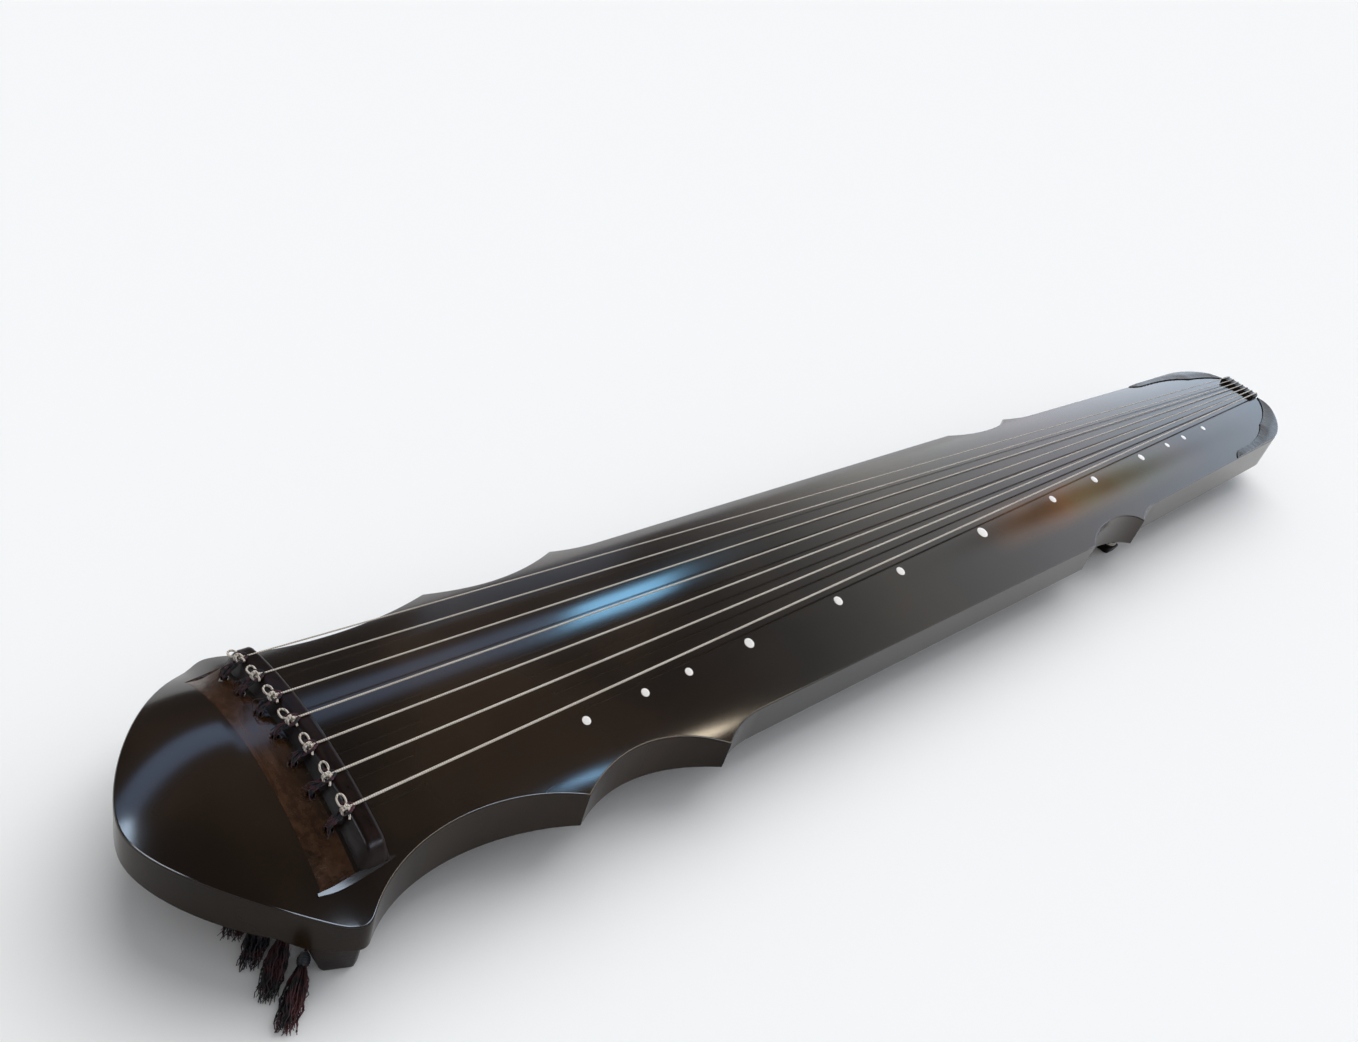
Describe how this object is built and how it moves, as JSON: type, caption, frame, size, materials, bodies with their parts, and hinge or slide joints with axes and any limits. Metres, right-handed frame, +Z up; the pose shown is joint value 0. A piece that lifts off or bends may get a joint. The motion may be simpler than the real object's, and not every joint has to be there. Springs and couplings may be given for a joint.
{
  "type": "guqin",
  "caption": "Long lacquered seven-string zither with a round head, scalloped neck and waist, silk tassels and turning pegs underneath.",
  "frame": {"origin": "middle of the surface that the instrument stands on, under the middle of its length and width, without the tassels", "axes": "+X from the round head to the tail, +Y across the body toward the player, +Z up; the inlaid markers and the thickest string are on the -Y side"},
  "size_m": [1.2591, 0.211, 0.0931],
  "materials": {
    "lacquer": "glossy dark lacquer over paulownia",
    "rosewood": "polished dark hardwood",
    "chestnut": "polished chestnut brown hardwood",
    "shell": "polished mother of pearl",
    "wire": "pale nylon wrap on a steel core",
    "silk": "dark red and black twisted silk",
    "fir": "bare planed fir"
  },
  "bodies": {
    "root": {"top_board": "lacquer", "bottom_board": "lacquer", "dragon_pool_rim": "rosewood", "phoenix_pond_rim": "rosewood", "round_sound_post": "fir", "square_sound_post": "fir", "head_plate": "chestnut", "bridge": "rosewood", "marker_1": "shell", "marker_2": "shell", "marker_3": "shell", "marker_4": "shell", "marker_5": "shell", "marker_6": "shell", "marker_7": "shell", "marker_8": "shell", "marker_9": "shell", "marker_10": "shell", "marker_11": "shell", "marker_12": "shell", "marker_13": "shell", "peg_pool_plate": "rosewood", "peg_guard_near": "rosewood", "peg_guard_far": "rosewood", "goose_foot_near": "rosewood", "goose_foot_far": "rosewood", "tail_nut": "rosewood", "tail_nut_support": "rosewood", "tail_crown_near": "rosewood", "tail_crown_far": "rosewood", "string_1": "wire", "string_2": "wire", "string_3": "wire", "string_4": "wire", "string_5": "wire", "string_6": "wire", "string_7": "wire", "silk_loop_1": "silk", "silk_loop_2": "silk", "silk_loop_3": "silk", "silk_loop_4": "silk", "silk_loop_5": "silk", "silk_loop_6": "silk", "silk_loop_7": "silk", "tassel_1": "silk", "tassel_2": "silk", "tassel_3": "silk", "tassel_4": "silk", "tassel_5": "silk", "tassel_6": "silk", "tassel_7": "silk"},
    "peg_1": {"tuning_peg_1": "rosewood"},
    "peg_2": {"tuning_peg_2": "rosewood"},
    "peg_3": {"tuning_peg_3": "rosewood"},
    "peg_4": {"tuning_peg_4": "rosewood"},
    "peg_5": {"tuning_peg_5": "rosewood"},
    "peg_6": {"tuning_peg_6": "rosewood"},
    "peg_7": {"tuning_peg_7": "rosewood"}
  },
  "joints": [
    {"name": "peg_turn_1", "type": "hinge", "parent": "root", "child": "peg_1", "pos_m": [-0.54865, -0.0544, 0.03], "axis": [0, 0, 1], "continuous": true},
    {"name": "peg_turn_2", "type": "hinge", "parent": "root", "child": "peg_2", "pos_m": [-0.54865, -0.0344, 0.03], "axis": [0, 0, 1], "continuous": true},
    {"name": "peg_turn_3", "type": "hinge", "parent": "root", "child": "peg_3", "pos_m": [-0.54865, -0.0144, 0.03], "axis": [0, 0, 1], "continuous": true},
    {"name": "peg_turn_4", "type": "hinge", "parent": "root", "child": "peg_4", "pos_m": [-0.54865, 0.0056, 0.03], "axis": [0, 0, 1], "continuous": true},
    {"name": "peg_turn_5", "type": "hinge", "parent": "root", "child": "peg_5", "pos_m": [-0.54865, 0.0256, 0.03], "axis": [0, 0, 1], "continuous": true},
    {"name": "peg_turn_6", "type": "hinge", "parent": "root", "child": "peg_6", "pos_m": [-0.54865, 0.0456, 0.03], "axis": [0, 0, 1], "continuous": true},
    {"name": "peg_turn_7", "type": "hinge", "parent": "root", "child": "peg_7", "pos_m": [-0.54865, 0.0656, 0.03], "axis": [0, 0, 1], "continuous": true}
  ]
}
